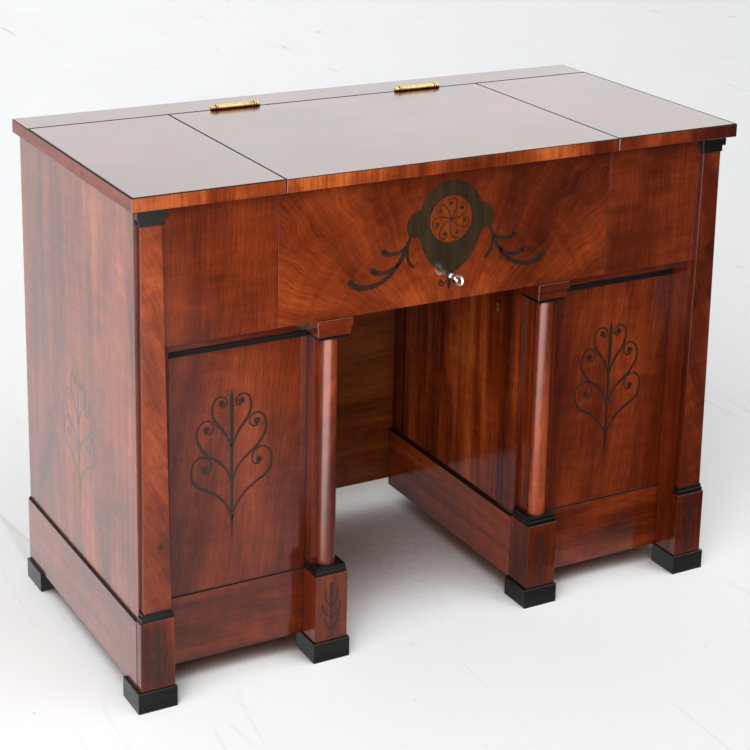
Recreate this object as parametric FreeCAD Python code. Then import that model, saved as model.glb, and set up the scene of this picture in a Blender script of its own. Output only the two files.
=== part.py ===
import FreeCAD, Part
import os

# Vanity desk: two pedestals with a kneehole between them, a deep middle drawer
# behind the front, a mirror lid and two side flaps as its top.
# Lengths are millimetres. X runs to the right, Y to the back, Z up.
# The drawing starts at the front edge of the top and is shifted at the end so
# that the origin lies under the middle of the whole desk.

V = FreeCAD.Vector
OUT = "parts"

# Fits
leaf_clearance = 0.3
slide_clearance = 0.3
running_fit = 0.06
knuckle_gap = 0.2
over = 1.0

# Overall size
top_height = 800.0
top_half_width = 529.0
top_depth = 505.0

# Heights of the stack, counted up from the floor or down from the top
top_thickness = 22.0
fascia_height = 211.5
foot_height = 33.4
plinth_height = 146.0
base_step_rise = 7.0
base_rise = 13.0
capital_drop = 26.5
capital_step_drop = 13.5
neck_height = 7.0

# Table top
rear_rail_depth = 71.5
rear_rail_joint = 2.5
lid_half_width = 291.5
leaf_gap = 1.0
top_arris = 1.1

# Case
fascia_front = 24.3
rear_overhang = 2.0
side_overhang = 11.5
side_thickness = 20.0
post_width = 51.2
post_depth = 60.7
back_recess = 12.0
back_thickness = 10.0
back_lift = 12.6
board = 16.0
drawer_lid_lap = 1.7
fascia_gap = 0.8
drawer_front_thickness = 20.0
partition_thickness = 12.0
rail_depth = 20.0

# Plinth boards
plinth_side_projection = 4.0
plinth_side_chamfer = 3.2
plinth_front_projection = 2.7
plinth_front_chamfer = 2.0
plinth_inner_projection = 6.0
plinth_inner_chamfer = 4.5

# Corner blocks, bases, pilasters and their capitals: how far each stands in from the post's
# inner edge, from the side's face and from the front of the block
block_arris = 0.7
corner_block_overhang = 3.5
corner_block_projection = 15.6
corner_base_inner_inset = 1.0
corner_base_overhang = 1.5
corner_base_setback = 1.5
corner_base_step_inner_inset = 2.3
corner_base_step_outer_inset = 1.0
corner_base_step_setback = 3.0
pilaster_foot_inner_inset = 3.2
pilaster_foot_outer_inset = 3.0
pilaster_foot_setback = 3.8
pilaster_head_inner_inset = 10.7
pilaster_head_outer_inset = 6.5
pilaster_head_setback = 8.3
pilaster_head_drop = 26.0
cap_inner_inset = 8.2
cap_outer_inset = 4.0
cap_setback = 6.3
cap_step_drop = 15.0
cap_step_inner_inset = 4.2
cap_step_outer_inset = 0.5
cap_step_setback = 2.3
cap_arris = 0.5

# Kneehole columns: insets from the block's two sides and setbacks from its front
column_block_width = 56.0
column_block_depth = 54.0
column_block_projection = 1.8
column_base_inset = 1.5
column_base_setback = 1.7
column_base_step_inset = 3.0
column_base_step_setback = 3.2
column_post_inner_inset = 11.5
column_post_outer_inset = 3.5
column_post_setback = 23.5
column_axis_inset = 27.5
column_axis_setback = 24.5
column_foot_radius = 15.5
column_head_radius = 13.5
column_swell_radius = 14.9
column_swell_share = 0.45
neck_inset = 3.0
neck_setback = 6.5
capital_setback = 2.5
capital_step_overhang = 2.0

# Pedestal front panels
panel_recess = 43.4
panel_thickness = 16.0
fillet_drop = 35.5
fillet_height = 8.5
fillet_projection = 2.5
strip_projection = 1.0

# Kneehole doors, their stiles and pivots. The left door hangs further forward than the right
# one, so that both can stand open at once, one behind the other.
kneehole_half_width = 175.0
door_thickness = 17.7
door_end_gap = 1.0
door_side_gap = 0.5
pivot_setback = 42.0
left_door_lead = 24.0
pivot_radius = 3.0
pivot_depth = 8.0
front_stile_depth = 27.5
door_stop_reach = 16.0
door_stop_lap = 8.0
door_stop_thickness = 12.0
door_keyhole_setback = 47.5
door_keyhole_drop = 74.5
keyhole_radius = 1.8
keyhole_slot_width = 2.2
keyhole_slot_length = 8.0

# Feet
foot_arris = 0.9
foot_inner_overhang = 2.7
foot_outer_overhang = 8.8
foot_front_overhang = 3.1
foot_column_overhang = 3.8
foot_column_outer_overhang = 2.8
foot_column_front_overhang = 3.6
foot_depth = 62.8
foot_rear_inset = 0.5
foot_rear_depth = 67.5

# Drawer
drawer_gap = 0.5
drawer_side_inset = 0.4
drawer_wall = 12.0
drawer_headroom = 8.0
drawer_tail_gap = 21.0
drawer_bottom_lift = 6.5
drawer_bottom_thickness = 8.0
drawer_bottom_lap = 5.0
dovetail_count = 4
dovetail_share = 0.62
dovetail_flare = 2.2
dovetail_length = 14.0

# Lock, bolt and key
lock_half_width = 32.0
lock_depth = 13.0
lock_rise = 17.5
lock_height = 48.0
lock_wall = 1.5
bolt_half_width = 12.0
bolt_setback = 6.3
bolt_thickness = 4.4
bolt_reach = 13.0
bolt_clearance = 0.3
mortise_side_clearance = 2.0
mortise_front_clearance = 0.6
mortise_floor_rise = 4.5
key_shank_radius = 3.0
key_shank_reach = 10.2
key_bit_setback = 2.7
key_bit_length = 6.0
key_bit_reach = 8.7
key_bit_thickness = 2.0
key_collar_stand = 5.3
key_collar_radius = 4.6
key_collar_length = 4.6
key_bow_stand = 29.3
key_bow_half_length = 12.0
key_bow_half_height = 9.0
key_bow_wire = 4.0
key_bow_thickness = 3.6
key_bow_easing = 1.0
key_slot_width = 2.6
key_slot_reach = 9.3

# Mirror in the lid
mirror_side_margin = 86.5
mirror_front = 60.0
mirror_rear_margin = 51.0
mirror_recess = 4.0
mirror_thickness = 3.6
mirror_side_gap = 0.4
mirror_bevel = 1.2

# Barrel hinges of the lid
lid_axis_rise = 3.3
lid_hinge_inset = 118.5
barrel_radius = 5.0
barrel_half_length = 32.0
barrel_middle_half = 16.0
barrel_pin_radius = 2.0
barrel_groove = 5.9
barrel_groove_half = 44.8
hinge_plate_depth = 19.0
hinge_plate_drop = 4.6
hinge_tongue_drop = 0.5
fixed_plate_thickness = 1.2
moving_plate_thickness = 1.0
collar_groove_radius = 3.9
collar_groove_length = 1.2
collar_radius = 5.7
collar_length = 2.4
finial_neck_radius = 2.8
finial_neck_length = 1.6
knob_radius = 4.8
knob_length = 4.4
knob_taper = 2.4
knob_tip_radius = 2.6
full_turn = 360

# Strip hinges of the flaps
flap_axis_stand = 4.0
strip_thickness = 1.2
strip_inset = 14.0
strip_front = 80.0
strip_rear_margin = 51.0
strip_knuckles = 3
strip_radius = 2.6
strip_pin_radius = 1.2
strip_groove = 2.9
strip_tongue_gap = 1.3
flap_leaf_stand = 0.7

# Heights that follow
case_height = top_height - top_thickness
case_soffit = case_height - fascia_height
leaf_bottom = case_height + leaf_clearance
deck_top = case_soffit + board
floor_bottom = plinth_height - board
back_bottom = foot_height + back_lift
base_step_height = plinth_height + base_step_rise
base_height = plinth_height + base_rise
capital_bottom = case_soffit - capital_drop
capital_step = case_soffit - capital_step_drop
neck_bottom = capital_bottom - neck_height
pilaster_head = case_height - pilaster_head_drop
cap_step = case_height - cap_step_drop
fillet_bottom = case_soffit - fillet_drop
fillet_top = fillet_bottom + fillet_height

# Depths of the case that follow
fascia_rear = fascia_front + drawer_front_thickness + slide_clearance
drawer_front_rear = fascia_front + drawer_front_thickness
rail_rear = fascia_rear + rail_depth
post_rear = fascia_front + post_depth
panel_front = fascia_front + panel_recess
plinth_front_face = panel_front - plinth_front_projection
rear_rail_front = top_depth - rear_rail_depth
leaf_rear = rear_rail_front - rear_rail_joint
case_rear = top_depth - rear_overhang
back_front = case_rear - back_recess

# Widths of the case that follow
side_face = top_half_width - side_overhang
side_inner = side_face - side_thickness
post_inner = side_face - post_width
plinth_side_face = side_face + plinth_side_projection
flap_inner = lid_half_width + leaf_gap
drawer_half_width = lid_half_width + drawer_lid_lap
fascia_inner = drawer_half_width + fascia_gap

# Corner blocks and pilasters
corner_block_front = fascia_front - corner_block_projection
corner_block_outer = side_face + corner_block_overhang
corner_base_inner = post_inner + corner_base_inner_inset
corner_base_outer = side_face + corner_base_overhang
corner_base_front = corner_block_front + corner_base_setback
corner_base_step_inner = post_inner + corner_base_step_inner_inset
corner_base_step_outer = side_face - corner_base_step_outer_inset
corner_base_step_front = corner_block_front + corner_base_step_setback
pilaster_foot_inner = post_inner + pilaster_foot_inner_inset
pilaster_foot_outer = side_face - pilaster_foot_outer_inset
pilaster_foot_front = corner_block_front + pilaster_foot_setback
pilaster_head_inner = post_inner + pilaster_head_inner_inset
pilaster_head_outer = side_face - pilaster_head_outer_inset
pilaster_head_front = corner_block_front + pilaster_head_setback
cap_inner = post_inner + cap_inner_inset
cap_outer = side_face - cap_outer_inset
cap_front = corner_block_front + cap_setback
cap_step_inner = post_inner + cap_step_inner_inset
cap_step_outer = side_face - cap_step_outer_inset
cap_step_front = corner_block_front + cap_step_setback

# Kneehole side: door, stiles, plinth and column
door_face = kneehole_half_width
door_rear_face = door_face + door_thickness
stile_rear_face = door_rear_face + slide_clearance
plinth_inner_face = door_face - plinth_inner_projection
plinth_inner_rear = stile_rear_face
column_block_outer = plinth_inner_face + column_block_width
column_block_front = fascia_front - column_block_projection
column_block_rear = column_block_front + column_block_depth
column_base_inner = plinth_inner_face + column_base_inset
column_base_outer = column_block_outer - column_base_inset
column_base_front = column_block_front + column_base_setback
column_base_step_inner = plinth_inner_face + column_base_step_inset
column_base_step_outer = column_block_outer - column_base_step_inset
column_base_step_front = column_block_front + column_base_step_setback
column_post_inner = plinth_inner_face + column_post_inner_inset
column_post_outer = column_block_outer - column_post_outer_inset
column_post_front = column_block_front + column_post_setback
column_axis_x = plinth_inner_face + column_axis_inset
column_axis_y = column_block_front + column_axis_setback
neck_inner = plinth_inner_face + neck_inset
neck_outer = column_block_outer - neck_inset
neck_front = column_block_front + neck_setback
capital_front = column_block_front + capital_setback
capital_step_inner = plinth_inner_face - capital_step_overhang
capital_step_outer = column_block_outer + capital_step_overhang
front_stile_rear = column_block_rear + front_stile_depth
door_front = front_stile_rear + door_side_gap
door_stop_front = front_stile_rear - door_stop_reach
door_stop_rear = front_stile_rear + door_stop_lap
door_keyhole_y = door_front + door_keyhole_setback
door_keyhole_z = case_soffit - door_keyhole_drop
right_pivot_y = back_front - pivot_setback
left_pivot_y = right_pivot_y - left_door_lead
pivot_x = door_face + door_thickness / 2
door_round = door_thickness / 2

# Feet
foot_outer_near = post_inner - foot_inner_overhang
foot_outer_far = side_face + foot_outer_overhang
foot_inner_near = plinth_inner_face - foot_column_overhang
foot_inner_far = column_block_outer + foot_column_outer_overhang
foot_corner_front = corner_block_front - foot_front_overhang
foot_column_front = column_block_front - foot_column_front_overhang
foot_rear_rear = top_depth - foot_rear_inset
foot_rear_front = foot_rear_rear - foot_rear_depth

# Drawer, lock and key
drawer_side_half_width = drawer_half_width - drawer_side_inset
drawer_wall_inner = drawer_side_half_width - drawer_wall
drawer_wall_top = case_height - drawer_headroom
drawer_back_rear = back_front - drawer_tail_gap
drawer_box_bottom = deck_top + slide_clearance
lock_rear = drawer_front_rear + lock_depth
lock_bottom = case_soffit + lock_rise
lock_top = lock_bottom + lock_height
bolt_front = drawer_front_rear + bolt_setback
bolt_top = lock_bottom + bolt_reach
mortise_half_width = bolt_half_width + mortise_side_clearance
mortise_front = bolt_front - mortise_front_clearance
mortise_floor = case_soffit + mortise_floor_rise
key_height = lock_bottom + lock_height / 2
key_shank_end = drawer_front_rear + key_shank_reach
key_bit_front = drawer_front_rear + key_bit_setback
key_bit_rear = key_bit_front + key_bit_length
key_collar_y = fascia_front - key_collar_stand
key_bow_middle = fascia_front - key_bow_stand
key_tip = key_bow_middle - key_bow_half_length

# Mirror and hinges
mirror_half_width = lid_half_width - mirror_side_margin
mirror_rear = leaf_rear - mirror_rear_margin
lid_axis_y = (rear_rail_front + leaf_rear) / 2
lid_axis_z = top_height + lid_axis_rise
lid_hinge_x = lid_half_width - lid_hinge_inset
hinge_plate_bottom = top_height - hinge_plate_depth
hinge_plate_top = top_height - hinge_plate_drop
hinge_tongue_top = top_height - hinge_tongue_drop
flap_axis_x = side_face + flap_axis_stand
flap_axis_z = (case_height + leaf_bottom) / 2
strip_inner = side_face - strip_inset
strip_tongue_reach = flap_axis_x - strip_tongue_gap
flap_leaf_outer = side_face + flap_leaf_stand
strip_rear = leaf_rear - strip_rear_margin
strip_knuckle_length = (strip_rear - strip_front) / strip_knuckles

depth_middle = (top_depth + key_tip) / 2


def box(x0, x1, y0, y1, z0, z1):
    return Part.makeBox(x1 - x0, y1 - y0, z1 - z0, V(x0, y0, z0))


def eased_box(x0, x1, y0, y1, z0, z1, arris):
    solid = box(x0, x1, y0, y1, z0, z1)
    return solid.makeChamfer(arris, solid.Edges)


def rod_x(radius, x0, x1, y, z):
    return Part.makeCylinder(radius, x1 - x0, V(x0, y, z), V(1, 0, 0))


def rod_y(radius, y0, y1, x, z):
    return Part.makeCylinder(radius, y1 - y0, V(x, y0, z), V(0, 1, 0))


def rod_z(radius, z0, z1, x, y):
    return Part.makeCylinder(radius, z1 - z0, V(x, y, z0), V(0, 0, 1))


def turned_x(outline, y, z):
    points = [V(x, y, z + radius) for x, radius in outline]
    face = Part.Face(Part.makePolygon(points + points[:1]))
    return face.revolve(V(0, y, z), V(1, 0, 0), full_turn)


def profile_along_x(points, x0, x1):
    wire = Part.makePolygon([V(x0, y, z) for y, z in points + points[:1]])
    return Part.Face(wire).extrude(V(x1 - x0, 0, 0))


def profile_along_y(points, y0, y1):
    wire = Part.makePolygon([V(x, y0, z) for x, z in points + points[:1]])
    return Part.Face(wire).extrude(V(0, y1 - y0, 0))


def mirrored(solid):
    return solid.mirror(V(0, 0, 0), V(1, 0, 0))


def ease_long_edges(solid, arris, wanted):
    edges = [edge for edge in solid.Edges if wanted(edge.CenterOfMass)]
    return solid.makeChamfer(arris, edges)


# Case sides: the board and the corner post that carries the pilaster
def side_panel():
    panel = box(side_inner, side_face, fascia_front, case_rear, plinth_height, case_height)
    post = box(post_inner, side_inner, fascia_front, post_rear, foot_height, case_soffit)
    seat = box(strip_inner, side_face + over, strip_front, strip_rear,
               case_height - strip_thickness, case_height + over)
    return panel.fuse(post).removeSplitter().cut(seat)


# Plinth of one pedestal: three boards with eased top edges round the cupboard floor
def plinth(pivot_y):
    side = profile_along_y(
        [(side_inner, foot_height), (plinth_side_face, foot_height),
         (plinth_side_face, plinth_height - plinth_side_chamfer),
         (plinth_side_face - plinth_side_chamfer, plinth_height),
         (side_inner, plinth_height)],
        fascia_front, case_rear)
    inner = profile_along_y(
        [(plinth_inner_face, foot_height), (plinth_inner_rear, foot_height),
         (plinth_inner_rear, plinth_height),
         (plinth_inner_face + plinth_inner_chamfer, plinth_height),
         (plinth_inner_face, plinth_height - plinth_inner_chamfer)],
        column_block_rear, back_front)
    front = profile_along_x(
        [(plinth_front_face, foot_height), (post_rear, foot_height),
         (post_rear, plinth_height),
         (plinth_front_face + plinth_front_chamfer, plinth_height),
         (plinth_front_face, plinth_height - plinth_front_chamfer)],
        column_block_outer, post_inner)
    tie = box(plinth_inner_rear, column_block_outer, column_block_rear, post_rear,
              foot_height, plinth_height)
    floor = box(plinth_inner_rear, side_inner, post_rear, back_front, floor_bottom, plinth_height)
    socket = rod_z(pivot_radius, plinth_height - pivot_depth, plinth_height + over, pivot_x, pivot_y)
    return side.fuse([inner, front, tie, floor]).removeSplitter().cut(socket)


def corner_block():
    return eased_box(post_inner, corner_block_outer, corner_block_front, fascia_front,
                     foot_height, plinth_height, block_arris)


def corner_base():
    low = eased_box(corner_base_inner, corner_base_outer, corner_base_front, fascia_front,
                    plinth_height, base_step_height, cap_arris)
    high = box(corner_base_step_inner, corner_base_step_outer, corner_base_step_front,
               fascia_front, base_step_height - cap_arris, base_height)
    return low.fuse(high).removeSplitter()


# Tapered corner pilaster: it narrows and leans back towards its head
def pilaster():
    foot = Part.makePolygon([
        V(pilaster_foot_inner, pilaster_foot_front, base_height),
        V(pilaster_foot_outer, pilaster_foot_front, base_height),
        V(pilaster_foot_outer, fascia_front, base_height),
        V(pilaster_foot_inner, fascia_front, base_height),
        V(pilaster_foot_inner, pilaster_foot_front, base_height)])
    head = Part.makePolygon([
        V(pilaster_head_inner, pilaster_head_front, pilaster_head),
        V(pilaster_head_outer, pilaster_head_front, pilaster_head),
        V(pilaster_head_outer, fascia_front, pilaster_head),
        V(pilaster_head_inner, fascia_front, pilaster_head),
        V(pilaster_head_inner, pilaster_head_front, pilaster_head)])
    solid = Part.makeLoft([foot, head], True, True)
    return ease_long_edges(
        solid, cap_arris,
        lambda c: c.y < fascia_front - over and base_height + over < c.z < pilaster_head - over
        and abs(c.x - (corner_base_inner + corner_base_outer) / 2) > over)


def pilaster_capital():
    low = eased_box(cap_inner, cap_outer, cap_front, fascia_front,
                    pilaster_head, cap_step + cap_arris, cap_arris)
    high = eased_box(cap_step_inner, cap_step_outer, cap_step_front, fascia_front,
                     cap_step, case_height, cap_arris)
    return low.fuse(high).removeSplitter()


def column_block():
    return eased_box(plinth_inner_face, column_block_outer, column_block_front,
                     column_block_rear, foot_height, plinth_height, block_arris)


def column_base():
    low = eased_box(column_base_inner, column_base_outer, column_base_front, column_block_rear,
                    plinth_height, base_step_height, cap_arris)
    high = box(column_base_step_inner, column_base_step_outer, column_base_step_front,
               column_block_rear, base_step_height - cap_arris, base_height)
    return low.fuse(high).removeSplitter()


# Half column with a slight swell, flat against the post behind it
def column():
    shaft_height = neck_bottom - base_height
    swell_z = base_height + column_swell_share * shaft_height
    side = Part.BSplineCurve()
    side.interpolate([V(column_foot_radius, 0, base_height), V(column_swell_radius, 0, swell_z),
                      V(column_head_radius, 0, neck_bottom)])
    outline = Part.Wire([
        Part.makeLine(V(0, 0, neck_bottom), V(0, 0, base_height)),
        Part.makeLine(V(0, 0, base_height), V(column_foot_radius, 0, base_height)),
        side.toShape(),
        Part.makeLine(V(column_head_radius, 0, neck_bottom), V(0, 0, neck_bottom))])
    shaft = Part.Face(outline).revolve(V(0, 0, 0), V(0, 0, 1), full_turn)
    shaft.translate(V(column_axis_x, column_axis_y, 0))
    behind = box(column_post_inner, column_post_outer, column_post_front, column_block_rear,
                 base_height - over, neck_bottom + over)
    return shaft.cut(behind)


# Column capital: dark neck, cushion and slab
def column_capital():
    neck = box(neck_inner, neck_outer, neck_front, column_block_rear, neck_bottom, capital_bottom)
    cushion = eased_box(plinth_inner_face, column_block_outer, capital_front, column_block_rear,
                        capital_bottom - cap_arris, capital_step + cap_arris, cap_arris)
    slab = eased_box(capital_step_inner, capital_step_outer, column_block_front,
                     column_block_rear, capital_step, case_soffit, cap_arris)
    return neck.fuse([cushion, slab]).removeSplitter()


# Post behind the column with the rebated stile on which the door closes
def column_post():
    post = box(column_post_inner, column_post_outer, column_post_front, column_block_rear,
               base_height, neck_bottom)
    stile = box(door_face, stile_rear_face, column_block_rear, front_stile_rear,
                plinth_height, case_soffit)
    stop = box(stile_rear_face, stile_rear_face + door_stop_thickness, door_stop_front,
               door_stop_rear, plinth_height, case_soffit)
    return post.fuse([stile, stop]).removeSplitter()


# Recessed pedestal front with the raised fillet and the strip above it
def front_panel():
    rear = panel_front + panel_thickness
    panel = profile_along_x(
        [(panel_front, plinth_height), (rear, plinth_height), (rear, case_soffit),
         (panel_front - strip_projection, case_soffit), (panel_front - strip_projection, fillet_top),
         (panel_front - fillet_projection, fillet_top),
         (panel_front - fillet_projection, fillet_bottom), (panel_front, fillet_bottom)],
        column_post_outer, post_inner)
    return panel.cut([column_base(), column_capital()])


def fascia():
    return box(fascia_inner, side_inner, fascia_front, fascia_rear, case_soffit, case_height)


def rear_stile(pivot_y):
    return box(door_face, stile_rear_face, pivot_y + door_round + door_side_gap, back_front,
               plinth_height, case_soffit)


# Kneehole door: its rear edge is rounded about the pivot so that it turns in place
def door(pivot_y):
    low = plinth_height + door_end_gap
    high = case_soffit - door_end_gap
    slab = box(door_face, door_rear_face, door_front, pivot_y, low, high)
    edge = rod_z(door_round, low, high, pivot_x, pivot_y)
    solid = slab.fuse(edge).removeSplitter()
    bore = pivot_radius + running_fit
    foot_bore = rod_z(bore, low - over, plinth_height + pivot_depth + running_fit, pivot_x, pivot_y)
    head_bore = rod_z(bore, case_soffit - pivot_depth - running_fit, high + over, pivot_x, pivot_y)
    eye = rod_x(keyhole_radius, door_face - over, door_rear_face + over, door_keyhole_y,
                door_keyhole_z)
    slot = box(door_face - over, door_rear_face + over, door_keyhole_y - keyhole_slot_width / 2,
               door_keyhole_y + keyhole_slot_width / 2, door_keyhole_z - keyhole_slot_length,
               door_keyhole_z)
    return solid.cut([foot_bore, head_bore, eye, slot])


def door_pivot_pins():
    pins = []
    for x, y in ((-pivot_x, left_pivot_y), (pivot_x, right_pivot_y)):
        pins.append(rod_z(pivot_radius, plinth_height - pivot_depth, plinth_height + pivot_depth,
                          x, y))
        pins.append(rod_z(pivot_radius, case_soffit - pivot_depth, case_soffit + pivot_depth,
                          x, y))
    return Part.makeCompound(pins)


def back_panel():
    return box(-side_inner, side_inner, back_front, back_front + back_thickness, back_bottom,
               case_height)


def dust_board():
    deck = box(-side_inner, side_inner, rail_rear, back_front, case_soffit, deck_top)
    sockets = [rod_z(pivot_radius, case_soffit - over, case_soffit + pivot_depth, x, y)
               for x, y in ((-pivot_x, left_pivot_y), (pivot_x, right_pivot_y))]
    return deck.cut(sockets)


# Rail under the drawer, mortised from behind for the bolt
def drawer_rail():
    rail = box(-side_inner, side_inner, fascia_rear, rail_rear, case_soffit, deck_top)
    mortise = box(-mortise_half_width, mortise_half_width, mortise_front, rail_rear + over,
                  mortise_floor, deck_top + over)
    return rail.cut(mortise)


def case_partition():
    return box(fascia_inner, fascia_inner + partition_thickness, fascia_rear, back_front,
               deck_top, case_height)


def barrel_groove_rod(x):
    return rod_x(barrel_groove, x - barrel_groove_half, x + barrel_groove_half, lid_axis_y,
                 lid_axis_z)


def rear_rail():
    rail = eased_box(-top_half_width, top_half_width, rear_rail_front, top_depth, case_height,
                     top_height, top_arris)
    return rail.cut([barrel_groove_rod(-lid_hinge_x), barrel_groove_rod(lid_hinge_x)])


def lid():
    leaf = eased_box(-lid_half_width, lid_half_width, 0, leaf_rear, leaf_bottom, top_height,
                     top_arris)
    recess = box(-mirror_half_width, mirror_half_width, mirror_front, mirror_rear,
                 leaf_bottom - over, leaf_bottom + mirror_recess)
    return leaf.cut([recess, barrel_groove_rod(-lid_hinge_x), barrel_groove_rod(lid_hinge_x)])


def mirror():
    roof = leaf_bottom + mirror_recess
    glass = box(-mirror_half_width + mirror_side_gap, mirror_half_width - mirror_side_gap,
                mirror_front + mirror_side_gap, mirror_rear - mirror_side_gap,
                roof - mirror_thickness, roof)
    return ease_long_edges(glass, mirror_bevel, lambda c: c.z < roof - mirror_thickness / 2)


def flap():
    leaf = eased_box(flap_inner, top_half_width, 0, leaf_rear, leaf_bottom, top_height, top_arris)
    groove = rod_y(strip_groove, strip_front - leaf_clearance, strip_rear + leaf_clearance,
                   flap_axis_x, flap_axis_z)
    seat = box(strip_inner, strip_tongue_reach, strip_front, strip_rear, leaf_bottom - over,
               leaf_bottom + strip_thickness)
    return leaf.cut([groove, seat])


# Plate and tongue of a barrel hinge, upright in the joint between lid and rail
def barrel_plate(y0, y1, tongues):
    plate = box(-barrel_half_length, barrel_half_length, y0, y1, hinge_plate_bottom,
                hinge_plate_top)
    lugs = [box(x0, x1, y0, y1, hinge_plate_top - over, hinge_tongue_top) for x0, x1 in tongues]
    return plate.fuse(lugs)


# Turned end of a barrel: groove, collar, neck and knob
def finial():
    groove = barrel_half_length + collar_groove_length
    collar = groove + collar_length
    neck = collar + finial_neck_length
    knob = neck + knob_length
    tip = knob + knob_taper
    return turned_x(
        [(barrel_half_length, 0), (barrel_half_length, collar_groove_radius),
         (groove, collar_groove_radius), (groove, collar_radius), (collar, collar_radius),
         (collar, finial_neck_radius), (neck, finial_neck_radius), (neck, knob_radius),
         (knob, knob_radius), (tip, knob_tip_radius), (tip, 0)],
        lid_axis_y, lid_axis_z)


# Fixed half of a barrel hinge: outer knuckles, pin and the two finials
def fixed_barrel():
    outer = barrel_middle_half + knuckle_gap
    spans = [(-barrel_half_length, -outer), (outer, barrel_half_length)]
    plate = barrel_plate(rear_rail_front - fixed_plate_thickness, rear_rail_front, spans)
    knuckles = [rod_x(barrel_radius, x0, x1, lid_axis_y, lid_axis_z) for x0, x1 in spans]
    pin = rod_x(barrel_pin_radius, -barrel_half_length, barrel_half_length, lid_axis_y, lid_axis_z)
    ends = [finial(), mirrored(finial())]
    return plate.fuse(knuckles + [pin] + ends).removeSplitter()


# Moving half of a barrel hinge: the middle knuckle and its plate on the lid
def moving_barrel():
    span = (-barrel_middle_half, barrel_middle_half)
    plate = barrel_plate(leaf_rear, leaf_rear + moving_plate_thickness, [span])
    knuckle = rod_x(barrel_radius, span[0], span[1], lid_axis_y, lid_axis_z)
    bore = rod_x(barrel_pin_radius + running_fit, span[0] - over, span[1] + over, lid_axis_y,
                 lid_axis_z)
    return plate.fuse(knuckle).cut(bore).removeSplitter()


def both_barrels(half):
    pair = []
    for x in (-lid_hinge_x, lid_hinge_x):
        copy = half.copy()
        copy.translate(V(x, 0, 0))
        pair.append(copy)
    return Part.makeCompound(pair)


def strip_spans(first):
    return [(strip_front + index * strip_knuckle_length,
             strip_front + (index + 1) * strip_knuckle_length)
            for index in range(first, strip_knuckles, 2)]


# Strip hinge half: a long thin leaf with knuckles on every other span
def strip_half(z0, z1, leaf_edge, first):
    leaf = box(strip_inner, leaf_edge, strip_front, strip_rear, z0, z1)
    pieces = []
    for y0, y1 in strip_spans(first):
        pieces.append(rod_y(strip_radius, y0 + knuckle_gap / 2, y1 - knuckle_gap / 2,
                            flap_axis_x, flap_axis_z))
        pieces.append(box(leaf_edge - over, strip_tongue_reach, y0 + knuckle_gap / 2,
                          y1 - knuckle_gap / 2, z0, z1))
    return leaf.fuse(pieces)


def fixed_strip():
    half = strip_half(case_height - strip_thickness, case_height, side_face, 0)
    pin = rod_y(strip_pin_radius, strip_front + knuckle_gap, strip_rear - knuckle_gap,
                flap_axis_x, flap_axis_z)
    return half.fuse(pin).removeSplitter()


def moving_strip():
    half = strip_half(leaf_bottom, leaf_bottom + strip_thickness, flap_leaf_outer, 1)
    bore = rod_y(strip_pin_radius + running_fit, strip_front, strip_rear, flap_axis_x, flap_axis_z)
    return half.cut(bore).removeSplitter()


# Dovetails of a drawer side, narrow at the root and wide at the tip
def dovetails(root, tip, x0, x1):
    pitch = (drawer_wall_top - drawer_box_bottom) / dovetail_count
    narrow = pitch * dovetail_share / 2
    wide = narrow + dovetail_flare
    tails = []
    for index in range(dovetail_count):
        middle = drawer_box_bottom + pitch * index + pitch / 2
        tails.append(profile_along_x(
            [(root, middle - narrow), (tip, middle - wide), (tip, middle + wide),
             (root, middle + narrow)], x0, x1))
    return tails


def front_dovetails(outer):
    return dovetails(drawer_front_rear, drawer_front_rear - dovetail_length, drawer_wall_inner,
                     outer)


def back_dovetails():
    return dovetails(drawer_back_rear - drawer_wall, drawer_back_rear, drawer_wall_inner,
                     drawer_side_half_width)


# Drawer: front with keyhole, dovetailed sides and back, and the bottom let into all four
def drawer_front():
    front = box(-drawer_half_width, drawer_half_width, fascia_front, drawer_front_rear,
                case_soffit + drawer_gap, case_height - drawer_gap)
    sockets = front_dovetails(drawer_half_width + over)
    sockets += [mirrored(socket) for socket in sockets]
    keyhole = keyhole_cut(fascia_front - over, drawer_front_rear + over)
    return front.cut(sockets + [keyhole, drawer_bottom()])


def keyhole_cut(y0, y1):
    eye = rod_y(key_shank_radius + running_fit, y0, y1, 0, key_height)
    slot = box(-key_slot_width / 2, key_slot_width / 2, y0, y1, key_height - key_slot_reach,
               key_height)
    return eye.fuse(slot)


def drawer_side():
    wall = box(drawer_wall_inner, drawer_side_half_width, drawer_front_rear,
               drawer_back_rear - drawer_wall, drawer_box_bottom, drawer_wall_top)
    tails = front_dovetails(drawer_side_half_width) + back_dovetails()
    return wall.fuse(tails).removeSplitter().cut(drawer_bottom())


def drawer_back():
    back = box(-drawer_side_half_width, drawer_side_half_width, drawer_back_rear - drawer_wall,
               drawer_back_rear, drawer_box_bottom, drawer_wall_top)
    tails = back_dovetails()
    return back.cut(tails + [mirrored(tail) for tail in tails] + [drawer_bottom()])


def drawer_bottom():
    low = drawer_box_bottom + drawer_bottom_lift
    half_width = drawer_wall_inner + drawer_bottom_lap
    front = drawer_front_rear - drawer_bottom_lap
    sheet = box(-half_width, half_width, front, drawer_back_rear - drawer_wall + drawer_bottom_lap,
                low, low + drawer_bottom_thickness)
    notch = box(-lock_half_width - slide_clearance, lock_half_width + slide_clearance,
                front - over, lock_rear + slide_clearance, low - over,
                low + drawer_bottom_thickness + over)
    return sheet.cut(notch)


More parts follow.
